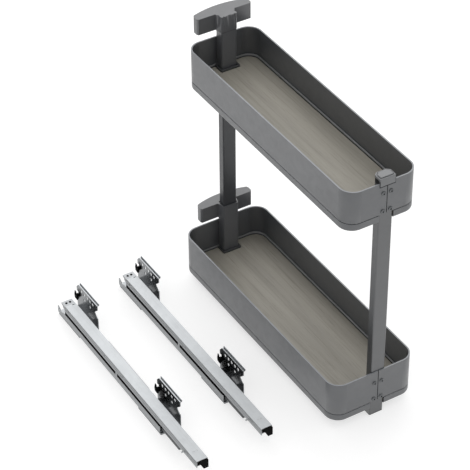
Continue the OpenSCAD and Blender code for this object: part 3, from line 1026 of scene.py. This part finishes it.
@dataclass
class HookTrim:
    """The thin black pad under a rear hook plate, painted shade seen through its holes, and the
    two black studs in its holes.

    The places behind are measured from the plate's rear end, and the drop from its top.
    """

    side: Side
    shade_pad_half: Pair = (0.0072, 0.0058)
    shade_pad_back: float = 0.0085
    shade_pad_drop: float = 0.0015
    shade_pad_height: float = 0.0012
    shade_pad_cut: float = 0.0008
    stud_back: float = 0.0066
    stud_apart: float = 0.00355
    stud_profile: Sequence[Pair] = ((0.0, 0.0021), (0.0004, 0.0021), (0.0007, 0.0015))
    stud_steps: int = 20

    def build(self) -> None:
        """Makes the pad and both studs."""
        name = self.side.value
        low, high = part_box(f"{name}_rear_hook")
        x = (low.x + high.x) / 2
        top = high.z - self.shade_pad_drop
        # painted shade: a black pad that darkens the plate's holes from below
        shape = outline(x, high.y - self.shade_pad_back, *self.shade_pad_half, self.shade_pad_cut, self.shade_pad_cut)
        prism(f"{name}_hook_shade_pad", shape, top - self.shade_pad_height, top, f"{name}_drawer",
              BLACK_PLASTIC_AND_SHADE)
        for number, across in enumerate((-self.stud_apart, self.stud_apart)):
            centre = (x + across, high.y - self.stud_back, high.z)
            turned(f"{name}_hook_stud_{number + 1}", centre, UP, self.stud_profile,
                   f"{name}_drawer", BLACK_PLASTIC_AND_SHADE, self.stud_steps)


@dataclass
class RailScrews:
    """The two flush screws near the front of a sliding rail.

    Middle is the pair's place from the rail's near edge, back its place behind the front end.
    """

    side: Side
    middle: float = 0.01015
    apart: float = 0.003
    back: float = 0.022
    drop: float = 0.0011
    profile: Sequence[Pair] = ((0.0, 0.0011), (0.0002, 0.00145), (0.0009, 0.00145),
                               (0.00102, 0.0013))

    def build(self) -> None:
        """Makes both screws."""
        name = self.side.value
        low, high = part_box(f"{name}_top_rail")
        for number, across in enumerate((-self.apart, self.apart)):
            centre = (low.x + self.middle + across, low.y + self.back, high.z - self.drop)
            turned(f"{name}_rail_screw_{number + 1}", centre, UP, self.profile, f"{name}_drawer",
                   RAIL_ZINC)


@dataclass
class Runner:
    """One telescopic runner: channel, brackets, rails, rollers, damper and small parts."""

    side: Side
    edge: float = 0.0003

    def dress(self) -> None:
        """Gives each of the runner's pieces its finish and makes its small parts."""
        name = self.side.value
        for part, zinc in (("channel", RAIL_ZINC), ("middle_rail", TRACK_ZINC),
                           ("top_rail", GROOVED_ZINC), ("rear_hook", HOOK_ZINC),
                           ("front_bracket", BRACKET_ZINC), ("rear_bracket", BRACKET_ZINC)):
            FINISHES.dress(f"{name}_{part}", zinc, self.edge)
        for part in ("liners", "roller_cage", "end_plug", "damper_catch"):
            FINISHES.dress(f"{name}_{part}", BLACK_PLASTIC_AND_SHADE)
        FINISHES.dress(f"{name}_damper_housing", DAMPER_PLASTIC)
        for part in ("rivets", "rollers", "damper_rod"):
            FINISHES.dress(f"{name}_{part}", PIN_STEEL)
        for kind in (SlotShadeStrips, LatchLugs, LatchPin, HookTrim, RailScrews):
            kind(self.side).build()


# ---------------------------------------------------------------- studio
@dataclass
class Studio:
    """Camera, pale floor, white surroundings and one soft lamp behind the rack.

    Lens and sensor are in millimetres, the camera's turn in radians and the lamp's power in
    watts. The floor glows a little for the camera, and for mirrored rays by its sheen.
    """

    camera_place: Point = (-1.3594127, -2.2738337, 2.3587870)
    camera_turn: Point = (0.9000501, 0.0061537, -0.5479121)
    lens: float = 159.405
    sensor: float = 36.0
    clip: Pair = (0.05, 60.0)
    floor_half: float = 14.0
    floor_drop: float = 0.0002
    floor_colour: Colour = (0.48, 0.48, 0.48)
    floor_roughness: float = 0.9
    floor_glow: float = 0.62
    floor_sheen: float = 0.80
    world_light: float = 0.85
    lamp_place: Point = (1.45, 2.42, 2.24)
    lamp_aim: Point = (0.0, 0.0, 0.1)
    lamp_width: float = 3.6
    lamp_power: float = 47.0

    def build(self) -> None:
        """Makes the camera, the floor, the surroundings and the lamp."""
        self._camera()
        self._floor()
        self._world()
        self._lamp()
        LOG.info("studio built")

    def _camera(self) -> None:
        """Makes the camera at the photograph's place and angle."""
        data = bpy.data.cameras.new("photo_camera")
        data.sensor_fit = "HORIZONTAL"
        data.sensor_width = self.sensor
        data.lens = self.lens
        data.clip_start, data.clip_end = self.clip
        camera = bpy.data.objects.new("photo_camera", data)
        camera.location = self.camera_place
        camera.rotation_euler = Euler(self.camera_turn, "XYZ")
        bpy.context.collection.objects.link(camera)
        bpy.context.scene.camera = camera

    def _floor(self) -> None:
        """Makes the plain pale floor, which keeps the object's shadow."""
        half = self.floor_half
        corners = [(x * half, y * half, -self.floor_drop)
                   for x, y in ((-1, -1), (1, -1), (1, 1), (-1, 1))]
        mesh = bpy.data.meshes.new("studio_floor")
        mesh.from_pydata(corners, [], [(0, 1, 2, 3)])
        floor = bpy.data.objects.new("studio_floor", mesh)
        bpy.context.collection.objects.link(floor)
        g = Graph("studio_floor")
        rays = g.node("ShaderNodeLightPath").outputs
        mirrored = g.maths("MAXIMUM", rays["Is Glossy Ray"], rays["Is Transmission Ray"])
        glow = g.maths("ADD", g.maths("MULTIPLY", rays["Is Camera Ray"], self.floor_glow),
                       g.maths("MULTIPLY", mirrored, self.floor_sheen))
        g.paint(Base_Color=self.floor_colour, Roughness=self.floor_roughness,
                Emission_Color=WHITE, Emission_Strength=glow)
        mesh.materials.append(g.material)

    def _world(self) -> None:
        """Makes the even white surroundings."""
        world = bpy.data.worlds.new("studio_world")
        world.use_nodes = True
        background = world.node_tree.nodes["Background"]
        background.inputs["Color"].default_value = (*WHITE, 1.0)
        background.inputs["Strength"].default_value = self.world_light
        bpy.context.scene.world = world

    def _lamp(self) -> None:
        """Makes the soft square lamp."""
        data = bpy.data.lights.new("rear_softbox", "AREA")
        data.shape = "SQUARE"
        data.size = self.lamp_width
        data.energy = self.lamp_power
        lamp = bpy.data.objects.new("rear_softbox", data)
        lamp.location = self.lamp_place
        toward = Vector(self.lamp_aim) - Vector(self.lamp_place)
        lamp.rotation_euler = toward.to_track_quat("-Z", "Y").to_euler()
        bpy.context.collection.objects.link(lamp)


def main() -> None:
    """Builds the sub-assemblies in order and reports each."""
    logging.basicConfig(level=logging.INFO, format="%(name)s: %(message)s")
    bpy.context.scene.view_settings.view_transform = "Standard"
    Studio().build()
    Tray(Level.UPPER, UPPER_WOOD).dress()
    Tray(Level.LOWER, LOWER_WOOD_WITH_PAINTED_SHADE).dress()
    Posts().dress()
    RearSupports().dress()
    for side in Side:
        Runner(side).dress()


if __name__ == "__main__":
    main()
